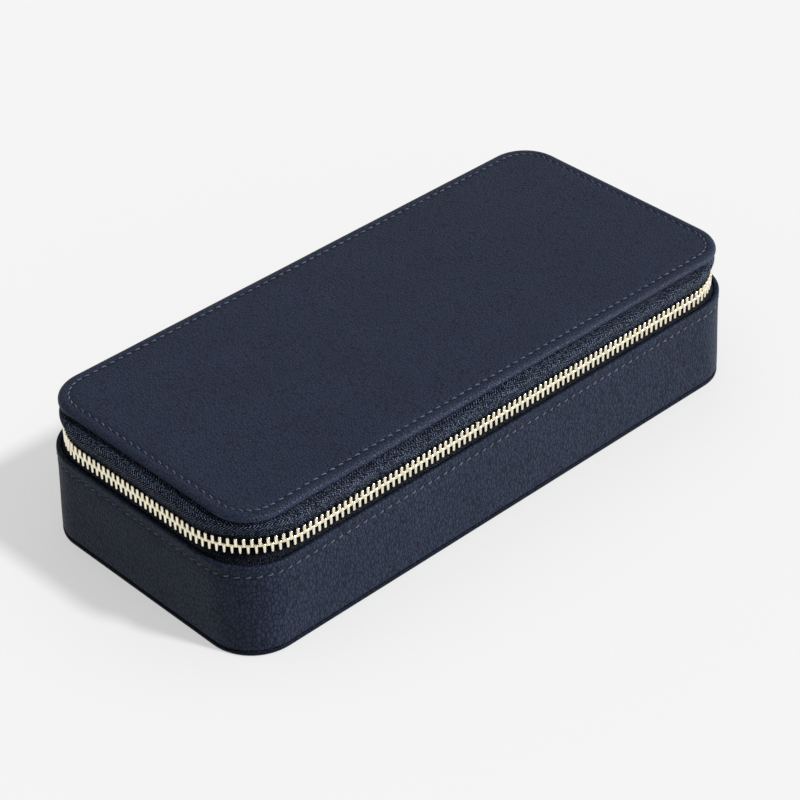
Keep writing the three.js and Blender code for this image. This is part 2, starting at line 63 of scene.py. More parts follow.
# Driving dimensions, as the CAD has them. An outline is (length, width, corner radius), and its
# centre where that isn't the origin.
WALL = (240, 109, 20)
FOOT_RADIUS = 17.6  # only here: the wall's corners are a little sharper at its foot
ZIP = (239.6, 109.2, 27)  # outer faces of the teeth
LID = (232.8, 104.6, 15.1)
DRAFT = 0.1  # how far the wall leans in at its foot
RIM_Z, ZIP_Z = 36.1, 42.3
CHAIN_DEPTH = 1.2  # middle of the zip's tape, in from the outer faces of the teeth
PITCH = 2.51  # of the teeth in one row
TOOTH_ROOT = 2.9  # where a tooth ends on the tape, from the zip's centre line
ZIP_TURN, TAPE_TURN, STRIP_TURN = (math.radians(a) for a in (62, 84, 86))
SLIDER_Y, SLIDER_HALF = 22, 5
SPREAD_NOSE = 1.3  # how far the slider holds each row off the centre line
STOP_HALF, STOP_GAP = 0.9, 1.0
CAVITY = 7.65  # from the wall's outer face to the fittings
CAVITY_X, CAVITY_Y = WALL[0] / 2 - CAVITY, WALL[1] / 2 - CAVITY
FLOOR_Z = 7
ROLL_COUNT, ROLL_PITCH, ROLL_WIDTH, ROLL_TOP = 6, 12.4, 12.1, 23
DIVIDER, DIVIDER_TOP = 2.6, 33.5
RING_DIVIDER_X = -CAVITY_X + ROLL_COUNT * ROLL_PITCH + DIVIDER / 2
BAY_START = RING_DIVIDER_X + DIVIDER / 2 + 0.3
FITTING_TOP = 47.7
HOOK_COUNT, HOOK_PITCH, HOOK_Y = 5, 35, -36
RIVET_OUT = 4.2  # from the middle of a hook to the rivets on either side
FITTING_LENGTH = 176
POCKET_MOUTH_Y, POCKET_END_Y = 2, 42
PIN_OUT = 4.4  # from the middle of the tape out to the pull's pin


# -------- runs round a rounded rectangle
def turn(side_x, side_y, start, end):
    """One corner of any outline, and the angles that a run turns through there."""
    return (side_x, side_y, start, end)


REAR_RIGHT = turn(1, 1, 0, QUARTER)
REAR_LEFT = turn(-1, 1, QUARTER, 2 * QUARTER)
FRONT_LEFT = turn(-1, -1, 2 * QUARTER, 3 * QUARTER)
FRONT_RIGHT = turn(1, -1, 3 * QUARTER, 4 * QUARTER)
ALL_ROUND = [REAR_RIGHT, REAR_LEFT, FRONT_LEFT, FRONT_RIGHT]


def centre_of(corner, outline):
    length, width, radius, *middle = outline
    x, y = middle or (0, 0)
    return x + corner[0] * (length / 2 - radius), y + corner[1] * (width / 2 - radius)


class Run:
    """A path round an outline. Distances are measured on that outline, at a depth in from it."""

    def __init__(self, outline, corners, depth=0.0, closed=False):
        self.outline = outline
        self.radius = outline[2]
        self.closed = closed
        self.pieces = []
        self.length = 0.0
        for i, corner in enumerate(corners):
            self._add(corner, corner, True, (outline[2] - depth) * (corner[3] - corner[2]))
            if i + 1 < len(corners) or closed:
                after = corners[(i + 1) % len(corners)]
                size = math.dist(centre_of(corner, outline), centre_of(after, outline))
                self._add(corner, after, False, size)

    def _add(self, corner, after, turning, size):
        self.pieces.append((self.length, corner, after, turning, size))
        self.length += size

    def at(self, s):
        """The corners on either side of distance s, the share of the way, and the direction."""
        piece = self.pieces[0]
        for p in self.pieces:
            if p[0] <= s:
                piece = p
        begin, corner, after, turning, size = piece
        share = (s - begin) / size
        angle = corner[2] + share * (corner[3] - corner[2]) if turning else corner[3]
        return corner, after, share, angle

    def point(self, s, depth, z, outline=None):
        """The place at distance s on this or another outline."""
        outline = outline or self.outline
        corner, after, share, angle = self.at(s)
        (x0, y0), (x1, y1) = centre_of(corner, outline), centre_of(after, outline)
        reach = outline[2] - depth
        x, y = x0 + share * (x1 - x0), y0 + share * (y1 - y0)
        return (x + reach * math.cos(angle), y + reach * math.sin(angle), z)

    def frame(self, s, depth, z):
        """Origin, tangent, outward normal and up at distance s."""
        angle = self.at(s)[3]
        tangent = (-math.sin(angle), math.cos(angle), 0)
        normal = (math.cos(angle), math.sin(angle), 0)
        return self.point(s, depth, z), tangent, normal, (0, 0, 1)

    def stations(self, step=4.0, turn_step=5.0, first=0.0, last=None, extra=()):
        """Distances for a sweep: no further apart than step, or turn_step degrees in a corner."""
        last = self.length if last is None else last
        marks = {round(first, 4)} if self.closed else {round(first, 4), round(last, 4)}
        for begin, corner, _, turning, size in self.pieces:
            turned = math.degrees(corner[3] - corner[2])
            count = max(1, math.ceil(turned / turn_step if turning else size / step))
            marks.update(round(begin + size * k / count, 4) for k in range(count))
        marks.update(round(s, 4) for s in extra)
        inside = sorted(m for m in marks if first - 1e-6 <= m <= last + 1e-6)
        if self.closed and inside[-1] > last - 1e-3:
            inside.pop()
        return inside


def on(outline, *points):
    """Points (depth, z) of a section, as measured from one outline."""
    return [(depth, z, outline) for depth, z in points]


wall_run = Run(WALL, ALL_ROUND, closed=True)
lid_run = Run(LID, ALL_ROUND, closed=True)


def zip_run(angle):
    """Round the left end, the front and the right end, from angle before to angle past them."""
    first = turn(-1, 1, 2 * QUARTER - angle, 2 * QUARTER)
    return Run(ZIP, [first, FRONT_LEFT, FRONT_RIGHT, turn(1, 1, 0, angle)], CHAIN_DEPTH)


chain = zip_run(ZIP_TURN)
tape_run = zip_run(TAPE_TURN)
TAPE_LEAD = (tape_run.length - chain.length) / 2
RIGHT_END = 5  # the chain's piece that runs straight along the right end
SLIDER_AT = chain.pieces[RIGHT_END][0] + SLIDER_Y + ZIP[1] / 2 - ZIP[2]
CHAIN_END = SLIDER_AT + SLIDER_HALF - 0.5
# Where the rows part, from the slider, and where they come together, from the chain's end.
PARTING, MEETING = (-1.5, 0, 1, 2.2), (3, 8, 12, 17, 22)
STOPS = (-2 * STOP_HALF - STOP_GAP - 0.3, CHAIN_END + 2 * STOP_HALF + STOP_GAP + 0.3)


def smoothstep(x, low, high):
    t = min(1, max(0, (x - low) / (high - low)))
    return t * t * (3 - 2 * t)


def spread(s):
    """How far each row of teeth stands off the zip's centre line."""
    opening = smoothstep(s, SLIDER_AT + PARTING[0], SLIDER_AT + PARTING[-1])
    closing = smoothstep(s, CHAIN_END + MEETING[0], CHAIN_END + MEETING[-1])
    return opening * SPREAD_NOSE * (1 - closing)


# -------- mesh making
def mesh_object(name, points, faces, material, body, uvs=None):
    """A mesh object from millimetre points that rides on a body, if one is given.

    uvs holds one pair per face corner.
    """
    mesh = bpy.data.meshes.new(name)
    mesh.from_pydata([tuple(c * MM for c in p) for p in points], [], faces)
    mesh.validate()
    if uvs is not None:
        layer = mesh.uv_layers.new(name="run")
        layer.data.foreach_set("uv", np.asarray(uvs, dtype=np.float32).ravel())
    mesh.materials.append(material)
    mesh.polygons.foreach_set("use_smooth", [True] * len(mesh.polygons))
    piece = bpy.data.objects.new(name, mesh)
    show(piece)
    if body:
        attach(piece, body)
    return piece


def fillet(points, radius, steps, keep):
    """Rounds the corners of a closed outline, except those whose index is in keep."""
    result = []
    count = len(points)
    for i, here in enumerate(points):
        if i in keep:
            result.append(here)
            continue
        p = Vector(here)
        before, after = Vector(points[i - 1]) - p, Vector(points[(i + 1) % count]) - p
        cut = min(radius, before.length * 0.45, after.length * 0.45)
        a, b = p + before.normalized() * cut, p + after.normalized() * cut
        for k in range(steps + 1):
            t = k / steps
            q = a * (1 - t) ** 2 + p * 2 * t * (1 - t) + b * t * t
            result.append(tuple(q))
    return result


def outward(points):
    """The section in the order that gives outward faces when swept counter-clockwise."""
    area = sum(a[0] * b[1] - b[0] * a[1] for a, b in zip(points, points[1:] + points[:1]))
    return points if area < 0 else points[::-1]


def sweep(name, run, stations, section, material, body):
    """Sweeps a closed section along a run, as one closed body.

    section(s) gives the (depth, z) or (depth, z, outline) points at distance s. The UV is the
    distance along the run and the length round the section.
    """
    sections = [outward(list(section(s))) for s in stations]
    count = len(sections[0])
    points, along = [], []
    for s, outline in zip(stations, sections):
        ring = [run.point(s, *corner) for corner in outline]
        points += ring
        steps = [math.dist(a, b) for a, b in zip(ring, ring[1:] + ring[:1])]
        along.append(np.concatenate([[0], np.cumsum(steps)]))
    faces, uvs = [], []
    rows = len(stations)
    for i in range(rows if run.closed else rows - 1):
        j = (i + 1) % rows
        s0, s1 = stations[i], stations[j] + (run.length if j == 0 else 0)
        for k in range(count):
            m = (k + 1) % count
            faces.append((j * count + k, j * count + m, i * count + m, i * count + k))
            uvs += [(s1, along[j][k]), (s1, along[j][k + 1])]
            uvs += [(s0, along[i][k + 1]), (s0, along[i][k])]
    if not run.closed:
        far = (rows - 1) * count
        faces.append(tuple(range(count)))
        faces.append(tuple(far + k for k in reversed(range(count))))
        uvs += [(0, 0)] * (2 * count)
    return mesh_object(name, points, faces, material, body, uvs)


def scatter(name, template, frames, material, body):
    """Copies of a template (points, faces) at frames (origin, x, y and z axis), as one mesh."""
    shape, quads = np.array(template[0], float), template[1]
    points, faces = [], []
    for k, (origin, x, y, z) in enumerate(frames):
        axes = np.array([x, y, z], float)
        points.append(np.array(origin, float) + shape @ axes)
        faces += [tuple(v + k * len(shape) for v in quad) for quad in quads]
    return mesh_object(name, np.concatenate(points).tolist(), faces, material, body)


def rounded_box(low, high, radius, steps=2):
    """A box between two corners with every edge rounded, as (points, faces)."""
    low, high = np.array(low, float), np.array(high, float)
    centre, half = (low + high) / 2, (high - low) / 2
    radius = min(radius, min(half) * 0.999)
    axes = []
    for h in half:
        edge = [h - radius * k / steps for k in range(steps + 1)]
        axes.append([-e for e in edge] + edge[::-1])
    index, points, faces = {}, [], []

    def vertex(p):
        inner = np.clip(p, -(half - radius), half - radius)
        away = p - inner
        q = inner + away / np.linalg.norm(away) * radius + centre
        key = tuple(np.round(q, 5))
        if key not in index:
            index[key] = len(points)
            points.append(q)
        return index[key]

    for axis in range(3):
        u, v = (axis + 1) % 3, (axis + 2) % 3
        for sign in (-1, 1):
            for a0, a1 in zip(axes[u], axes[u][1:]):
                for b0, b1 in zip(axes[v], axes[v][1:]):
                    quad = []
                    for a, b in ((a0, b0), (a1, b0), (a1, b1), (a0, b1)):
                        p = np.zeros(3)
                        p[axis], p[u], p[v] = sign * half[axis], a, b
                        quad.append(vertex(p))
                    if len(set(quad)) == 4:
                        faces.append(tuple(quad if sign > 0 else quad[::-1]))
    return points, faces


def circle(count):
    """Angles evenly spaced once round."""
    return [2 * math.pi * k / count for k in range(count)]


def rows_joined(rows, count):
    """The faces between one closed row of count points and the next."""
    faces = []
    for i in range(rows - 1):
        for k in range(count):
            m = (k + 1) % count
            faces.append((i * count + k, i * count + m, (i + 1) * count + m, (i + 1) * count + k))
    return faces


def merged(*shapes):
    """Several (points, faces) as one."""
    points, faces = [], []
    for shape_points, shape_faces in shapes:
        faces += [tuple(v + len(points) for v in face) for face in shape_faces]
        points += list(shape_points)
    return points, faces


def tube(path, radius, sides=8):
    """A tube along points, as (points, faces). radius may be a list with one for each point."""
    path = [Vector(p) for p in path]
    radii = radius if isinstance(radius, list) else [radius] * len(path)
    points = []
    for i, p in enumerate(path):
        ahead = (path[min(i + 1, len(path) - 1)] - path[max(i - 1, 0)]).normalized()
        side = ahead.cross(Vector((0, 0, 1)))
        side = side.normalized() if side.length > 1e-4 else Vector((1, 0, 0))
        up = side.cross(ahead)
        for a in circle(sides):
            points.append(tuple(p + (side * math.cos(a) + up * math.sin(a)) * radii[i]))
    faces = rows_joined(len(path), sides)
    faces.append(tuple(reversed(range(sides))))
    faces.append(tuple((len(path) - 1) * sides + k for k in range(sides)))
    return points, faces


# A panel's first rings go this share of the way to where their corners would be points.
RING_TRAVEL = 0.7
MIDDLE_RINGS = 6
CROWN_FADE = 1.2  # the crown ends this far below the panel's top
WAVE_LENGTH = 23


def panel(name, run, profile, material, body, crown=0.0, waves=0.05, both=False):
    """A flat panel: profile [(depth, z)] goes round the edge, then rings fill in to the middle.

    both also closes the profile's first end, so that the panel has two faces.
    """
    stations = run.stations(4, 6)
    mid_x, mid_y = run.outline[3:] or (0, 0)
    rims = []

    def rim(depth, z):
        rims.append([run.point(s, depth, z) for s in stations])

    def inward(depth, z):
        half = len(rims)
        for k in (1, 2, 3):
            rim(depth + RING_TRAVEL * (run.radius - depth) * k / 3, z)
        edge = [(x - mid_x, y - mid_y) for x, y, _ in rims[-1]]
        middle = max(x for x, _ in edge) - max(y for _, y in edge)
        for k in range(1, MIDDLE_RINGS + 1):
            t = k / MIDDLE_RINGS
            flat = [(x * (1 - t) + max(-middle, min(middle, x)) * t, y * (1 - t)) for x, y in edge]
            rims.append([(mid_x + x, mid_y + y, z) for x, y in flat])
        return rims[half:]

    if both:
        start = inward(*profile[0])
        rims[:] = start[::-1]
    for depth, z in profile:
        rim(depth, z)
    inward(*profile[-1])
    length, width = run.outline[0] / 2, run.outline[1] / 2
    top = profile[-1][1]
    points = []
    for ring in rims:
        for x, y, z in ring:
            near = smoothstep(abs(z - top), CROWN_FADE, 0) if crown else 0
            across = max(0, 1 - ((x - mid_x) / length) ** 2)
            across *= max(0, 1 - ((y - mid_y) / width) ** 2)
            lift = crown * across * near + waves * noise.noise(Vector((x, y, z)) / WAVE_LENGTH)
            points.append((x, y, z + lift))
    faces = rows_joined(len(rims), len(stations))
    piece = mesh_object(name, points, faces, material, body)
    weld(piece, 1e-5)
    return piece


def show(thing):
    bpy.context.scene.collection.objects.link(thing)


def weld(piece, distance):
    """Merges vertices that meet, and makes the faces look outward."""
    work = bmesh.new()
    work.from_mesh(piece.data)
    bmesh.ops.remove_doubles(work, verts=work.verts, dist=distance)
    bmesh.ops.recalc_face_normals(work, faces=work.faces)
    work.to_mesh(piece.data)
    work.free()
    for polygon in piece.data.polygons:
        polygon.use_smooth = True


# -------- materials
class Nodes:
    """Short calls for one material's node tree."""

    def __init__(self, name):
        self.material = bpy.data.materials.new(name)
        self.material.use_nodes = True
        self.tree = self.material.node_tree
        self.shader = self.tree.nodes["Principled BSDF"]

    def set(self, **values):
        for name, value in values.items():
            self.shader.inputs[name.replace("_", " ")].default_value = value
        return self

    def add(self, kind, inputs=None, output=0, **settings):
        """A node with its settings and inputs; an input that is a socket is linked."""
        node = self.tree.nodes.new(kind)
        for name, value in settings.items():
            setattr(node, name, value)
        for name, value in (inputs or {}).items():
            socket = node.inputs[name]
            if isinstance(value, bpy.types.NodeSocket):
                self.tree.links.new(value, socket)
            else:
                socket.default_value = value
        return node.outputs[output]

    def math(self, operation, a, b=0.5):
        return self.add("ShaderNodeMath", {0: a, 1: b}, operation=operation)

    def vector(self, operation, a, b):
        return self.add("ShaderNodeVectorMath", {0: a, 1: b}, operation=operation)

    def where(self):
        return self.add("ShaderNodeTexCoord", output="Object")

    def noise(self, scale, detail=3.0, roughness=0.55, vector=None):
        vector = vector or self.where()
        inputs = {"Vector": vector, "Scale": scale, "Detail": detail, "Roughness": roughness}
        return self.add("ShaderNodeTexNoise", inputs)

    def ramp(self, factor, *stops):
        """A colour ramp from (position, colour) stops; a number stands for a grey."""
        output = self.add("ShaderNodeValToRGB", {"Fac": factor})
        elements = output.node.color_ramp.elements
        while len(elements) < len(stops):
            elements.new(0.5)
        for element, (position, colour) in zip(elements, stops):
            element.position = position
            grey = isinstance(colour, (int, float))
            element.color = (colour, colour, colour, 1) if grey else (*colour, 1)
        return output

    def mix(self, factor, a, b):
        return self.add("ShaderNodeMix", {0: factor, 6: a, 7: b}, output=2, data_type="RGBA")

    def bump(self, height, distance, strength=1.0, normal=None):
        inputs = {"Height": height, "Distance": distance, "Strength": strength}
        if normal:
            inputs["Normal"] = normal
        return self.add("ShaderNodeBump", inputs)

    def finish(self, **links):
        for name, socket in links.items():
            self.tree.links.new(socket, self.shader.inputs[name.replace("_", " ")])
        return self.material


def colour4(colour):
    return (*colour, 1)


def leather_material(name, dark, light, grain=1.1, shine=0.15, stretch=(1, 1, 1)):
    """Pebbled leather: domed cells parted by creases, fine pores, and a slight cloud of colour."""
    n = Nodes(name).set(Specular_IOR_Level=shine)
    offset = n.vector("MULTIPLY", n.noise(420, 2), (0.0012, 0.0012, 0.0012))
    place = n.vector("MULTIPLY", n.vector("ADD", n.where(), offset), stretch)
    cells = {"Vector": place, "Scale": 1000 / grain, "Randomness": 0.95}
    edge = n.add("ShaderNodeTexVoronoi", cells, feature="DISTANCE_TO_EDGE")
    pebble = n.ramp(edge, (0.0, 0.0), (0.1, 0.5), (0.4, 1.0))
    pores = n.noise(4200, 2)
    cloud = n.noise(38, 3)
    height = n.math("ADD", pebble, n.math("MULTIPLY", pores, 0.4))
    tone = n.mix(n.ramp(cloud, (0.3, 0.0), (0.7, 1.0)), colour4(dark), colour4(light))
    painted_edge_highlight = n.ramp(n.add("ShaderNodeNewGeometry", output="Pointiness"), (0.53, 0.0), (0.62, 1.0))
    face = n.add("ShaderNodeNewGeometry", output="Normal")
    upward = n.add("ShaderNodeSeparateXYZ", {"Vector": face}, output="Z")
    # Painted highlight: the leather is made paler where it turns over an edge, and a face that
    # looks straight up is left alone.
    # Up is the world's: the flat of an open lid isn't left alone.
    painted_edge_highlight = n.math("MULTIPLY", painted_edge_highlight, n.ramp(upward, (0.97, 1.0), (0.995, 0.0)))
    edge_highlight_tone = tuple(2.2 * c + 0.004 for c in light)
    tone = n.mix(painted_edge_highlight, tone, colour4(edge_highlight_tone))
    # Painted shade: the creases between the pebbles are darkened.
    painted_crease_shade = tuple(0.3 * c for c in dark)
    shade = n.mix(n.ramp(edge, (0.0, 1.0), (0.16, 0.0)), tone, colour4(painted_crease_shade))
    polish = n.math("SUBTRACT", n.math("MULTIPLY", cloud, 0.5), n.math("MULTIPLY", pebble, 0.25))
    normal = n.bump(n.noise(90, 2), 0.0006, 0.25)
    return n.finish(
        Base_Color=shade,
        Roughness=n.ramp(polish, (0, 0.42), (0.5, 0.52)),
        Normal=n.bump(height, 0.00024, 0.85, normal),
    )


def tape_material(name):
    """Herringbone zip tape, with painted shade beside the teeth. UV is millimetres along and across
    it.
    """
    band, yarn_pitch, pick_pitch, case_height = 1.7, 1.1, 0.62, 0.055
    n = Nodes(name).set(Specular_IOR_Level=0.03)
    uv = n.add("ShaderNodeUVMap", uv_map="run")
    split = n.add("ShaderNodeSeparateXYZ", {0: uv})
    along, across = split.node.outputs[0], split.node.outputs[1]
    wander = n.math("MULTIPLY", n.noise(900, 2), 0.5)
    chevron = n.math("PINGPONG", across, band)
    twill = n.math("ADD", n.math("ADD", along, n.math("MULTIPLY", chevron, 1.2)), wander)
    yarn = n.math("SINE", n.math("MULTIPLY", twill, 2 * math.pi / yarn_pitch))
    pick = n.math("SINE", n.math("MULTIPLY", across, 2 * math.pi / pick_pitch))
    weave = n.math("ADD", n.math("MULTIPLY", yarn, 0.36), n.math("MULTIPLY", pick, 0.14))
    height = n.math("ADD", weave, 0.5)
    fuzz = n.noise(1500, 3)
    # The tone paints shade between the yarns and a highlight on their tops.
    glint = n.math("MULTIPLY", height, n.ramp(fuzz, (0.38, 0.5), (0.66, 1.25)))
    tone = n.ramp(
        glint,
        (0.25, (0.001, 0.0015, 0.004)),
        (0.55, (0.013, 0.02, 0.038)),
        (0.85, (0.11, 0.132, 0.185)),
    )
    # Painted shade: the tape is darkened to near-black in the recess beside the teeth.
    place = n.add("ShaderNodeSeparateXYZ", {0: n.where()})
    height_up = n.math("MULTIPLY", place.node.outputs[2], 1 / case_height)
    painted_shade_by_teeth = n.ramp(height_up, (0.66, 0.3), (0.7, 0.12), (0.82, 0.12), (0.845, 1.0))
    dark = n.mix(painted_shade_by_teeth, (0.002, 0.0025, 0.004, 1), tone)
    return n.finish(
        Base_Color=dark,
        Roughness=n.ramp(fuzz, (0.3, 0.42), (0.8, 0.65)),
        Normal=n.bump(n.math("ADD", height, n.math("MULTIPLY", fuzz, 0.4)), 0.0003, 0.9),
    )


def metal_material(name, colour, roughness=0.2):
    """Plated metal with a soft polish, faint scratches and a duller tone in places."""
    n = Nodes(name).set(Metallic=1.0)
    smudge = n.noise(260, 3)
    stretched = n.add("ShaderNodeMapping", {"Vector": n.where(), "Scale": (1, 1, 9)})
    scratches = n.noise(1500, 2, vector=stretched)
    dull = tuple(c * 0.82 for c in colour)
    return n.finish(
        Base_Color=n.mix(n.ramp(smudge, (0.35, 0.0), (0.75, 1.0)), colour4(colour), colour4(dull)),
        Roughness=n.ramp(scratches, (0.3, roughness), (0.8, roughness + 0.16)),
        Normal=n.bump(scratches, 0.00002, 0.35),
    )


def velvet_material(name, dark, light):
    """Short-pile velvet: a soft sheen, brushed patches and a fine nap."""
    n = Nodes(name).set(Sheen_Weight=0.6, Sheen_Roughness=0.35, Specular_IOR_Level=0.15)
    n.set(Sheen_Tint=(0.8, 0.82, 0.9, 1))
    brushed = n.noise(55, 4, 0.6)
    nap = n.noise(3800, 2)
    tone = n.mix(n.ramp(brushed, (0.35, 0.0), (0.68, 1.0)), colour4(dark), colour4(light))
    deep = tuple(0.7 * c for c in dark)
    speck = n.mix(n.ramp(nap, (0.35, 0.35), (0.65, 0.0)), tone, colour4(deep))
    return n.finish(
        Base_Color=speck,
        Roughness=n.ramp(nap, (0.2, 0.85), (0.8, 0.98)),
        Normal=n.bump(nap, 0.00012, 0.5, n.bump(brushed, 0.0008, 0.2)),
    )


def thread_material(name, colour):
    """Twisted sewing thread."""
    n = Nodes(name).set(Specular_IOR_Level=0.2)
    waves = {"Vector": n.where(), "Scale": 900.0, "Distortion": 1.5}
    ply = n.add("ShaderNodeTexWave", waves, bands_direction="DIAGONAL")
    wear = n.noise(150, 2)
    dark = tuple(c * 0.55 for c in colour)
    return n.finish(
        Base_Color=n.mix(n.ramp(wear, (0.3, 0.0), (0.7, 1.0)), colour4(colour), colour4(dark)),
        Roughness=n.ramp(ply, (0, 0.5), (1, 0.65)),
        Normal=n.bump(ply, 0.00004, 0.5),
    )


def board_material(name):
    """Grey book board, with its fibres showing."""
    n = Nodes(name)
    fibres = n.noise(700, 4, 0.7)
    return n.finish(
        Base_Color=n.ramp(fibres, (0.3, (0.22, 0.2, 0.17)), (0.7, (0.34, 0.31, 0.26))),
        Roughness=n.ramp(fibres, (0, 0.8), (1, 0.95)),
        Normal=n.bump(fibres, 0.0001, 0.4),
    )


# Each pair is the darker and the lighter tone of one material.
NAVY = (0.0118, 0.0192, 0.043), (0.016, 0.0242, 0.051)
WALL_NAVY = (0.0137, 0.02, 0.0378), (0.0186, 0.0253, 0.045)
BASE_NAVY = (0.004, 0.006, 0.0125), (0.0055, 0.008, 0.0155)
# The cord is the tape's navy, darkened to near-black as painted shade.
SHADED_CORD_NAVY = (0.002, 0.0028, 0.005), (0.0035, 0.0045, 0.008)
leather = leather_material("navy_leather", *NAVY)
wall_leather = leather_material("navy_wall_leather", *WALL_NAVY, 1.25, 0.05, (1, 1, 0.55))
base_leather = leather_material("base_leather", *BASE_NAVY, 1.1, 0.04)
tape = tape_material("zip_tape_weave")
shaded_cord_cloth = leather_material("zip_cord_shaded_cloth", *SHADED_CORD_NAVY, 0.6, 0.0)
gold = metal_material("pale_gold", (0.97, 0.91, 0.72), 0.14)
velvet = velvet_material("grey_velvet", (0.21, 0.21, 0.235), (0.3, 0.3, 0.33))
velvet_trim = velvet_material("elastic_weave", (0.05, 0.055, 0.075), (0.08, 0.085, 0.105))
thread = thread_material("blue_grey_thread", (0.084, 0.097, 0.135))
board = board_material("grey_board")
# Needle holes are near-black as painted shade.
painted_hole_shade = leather_material("needle_hole_painted_shade", (0.003, 0.0035, 0.006), (0.004, 0.005, 0.008))


# -------- stitches
STITCH_PITCH = 3.65


def stitch_shape():
    """One stitch lying along x, with y outward: its ends dive into the leather."""
    path, radii = [], []
    for k in range(7):
        t = k / 3 - 1
        path.append((1.05 * t, 0.34 * (1 - abs(t) ** 3) - 0.16, 0.24 * t))
        radii.append(0.27 * (1 - 0.5 * abs(t) ** 3))
    return tube(path, radii, sides=7)


def hole_shape():
    """A needle hole: a dimple painted near-black as its shade, seen as a shallow lens on the
    leather.
    """
    points = [(0, 0.03, 0)]
    sides = 8
    for ring, y in ((0.55, 0.03), (1.0, -0.12)):
        for a in circle(sides):
            points.append((0.62 * ring * math.cos(a), y, 0.44 * ring * math.sin(a)))
    faces = [(0, 1 + (k + 1) % sides, 1 + k) for k in range(sides)]
    for k in range(sides):
        m = (k + 1) % sides
        faces.append((1 + k, 1 + m, 1 + sides + m, 1 + sides + k))
    return points, faces


def stitch_line(name, run, depth, z, facing, body, first=0.0, last=None):
    """A line of stitches and needle holes along a run. facing is out, up or down."""
    last = run.length if last is None else last
    count = round((last - first) / STITCH_PITCH)
    step = (last - first) / count
    stitches, holes = [], []
    for k in range(count):
        for middle, frames in ((0.5, stitches), (0.0, holes)):
            s = first + (k + middle) * step
            origin, tangent, normal, up = run.frame(s, depth, z)
            away = {"out": normal, "up": up, "down": (0, 0, -1)}[facing]
            side = up if facing == "out" else normal
            frames.append((origin, tangent, away, side))
    scatter(name, stitch_shape(), stitches, thread, body)
    scatter(name + "_holes", hole_shape(), holes, painted_hole_shade, body)


# -------- case
STITCH_Z = 32.1
FOOT_Z = 2.25
OUTER_FACE = 0.95  # less deep than this, a point of the wall's section is on its outer side


def wall_section():
    """The wall's leather, from its outer bottom edge up, over the rim and down the inside."""
    outline = [
        (DRAFT, FOOT_Z), (0.08, 9.0), (0.06, 18.0), (0.05, 27.0), (0.04, STITCH_Z - 1.0),
        (0.4, STITCH_Z), (0.0, STITCH_Z + 1.0), (-0.06, 34.6), (0.0, RIM_Z), (1.85, RIM_Z),
        (1.8, 28.0), (1.1, 27.2), (1.5, FOOT_Z),
    ]
    points = fillet(outline, 0.85, 4, keep=range(1, 8))
    return [(depth, z, flared(z)) if depth < OUTER_FACE else (depth, z) for depth, z in points]


def flared(z):
    """The wall's outline at a height: its corners are sharper towards the foot."""
    return (WALL[0], WALL[1], FOOT_RADIUS + (WALL[2] - FOOT_RADIUS) * smoothstep(z, 0, STITCH_Z))


def ripple(piece, depth, scale):
    """Moves a piece's points a little along their normals, as glued leather is never quite flat."""
    mesh = piece.data
    normals = [v.normal.copy() for v in mesh.vertices]
    for vertex, normal in zip(mesh.vertices, normals):
        vertex.co += normal * (depth * MM * noise.noise(vertex.co / (scale * MM)))


def build_case():
    section = wall_section()
    stations = wall_run.stations(4, 4)
    wall = sweep("wall_cover", wall_run, stations, lambda s: section, wall_leather, "case")
    ripple(wall, 0.12, 31)
    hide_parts("wall_leather")
    stitch_line("wall_stitches", wall_run, 0.28, STITCH_Z, "out", "case")
    base_run = Run(flared(0), ALL_ROUND, closed=True)
    base_profile = [
        (2.4, 1.72), (0.8, 1.7), (0.35, 1.6), (0.1, 1.35), (0.04, 0.9), (0.1, 0.4),
        (0.4, 0.1), (1.0, 0.0), (3, 0),
    ]
    base = panel("base_cover", base_run, base_profile, base_leather, "case", waves=0, both=True)
    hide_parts("base_panel")
    # Painted shade: a ring of the dark base leather backs the gap between the wall's foot and the
    # base, so the groove reads dark.
    groove = [(0.55, 1.5), (0.55, 2.4), (1.3, 2.4), (1.3, 1.75)]
    stations = base_run.stations(8, 5)
    seam = sweep("base_groove_shade", base_run, stations, lambda s: groove, base_leather, "case")
    build_hinge()


def build_hinge():
    """The leather strip across the back, between the case and the lid."""
    right, left = turn(1, 1, STRIP_TURN, QUARTER), turn(-1, 1, QUARTER, 2 * QUARTER - STRIP_TURN)
    back = Run(ZIP, [right, left])
    face = on(WALL, (2.05, 28.3), (2.05, 35.8))
    face += on(ZIP, (1.0, 36.8), (0.7, 38.1), (0.45, 39.8), (0.6, 41.2), (0.4, 42.6), (0.6, 44.0))
    face += on(ZIP, (0.4, 45.4), (0.5, 46.8), (0.45, 48.2), (0.1, 49.4), (0.3, 50.6))
    face += on(LID, (0.6, 51.6), (1.8, 52.0))
    lining = on(LID, (1.8, 51.45), (1.2, 51.05))
    lining += on(ZIP, (0.9, 50.3), (1.1, 47.5), (1.2, 42.6), (1.3, 38.5))
    lining += on(WALL, (2.65, 36.2), (2.65, 28.3))
    strip = sweep("hinge_leather", back, back.stations(3), lambda s: face + lining, leather, None)
    ripple(strip, 0.2, 9)
    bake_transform(strip)
    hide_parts("hinge_strip")
    build_gussets()
    for name, depth, z, body in (("lower", 0.62, 38.1, "case"), ("upper", 0.42, 47.7, "lid")):
        stitch_line(f"hinge_stitches_{name}", back, depth, z, "out", body, 3, back.length - 3)


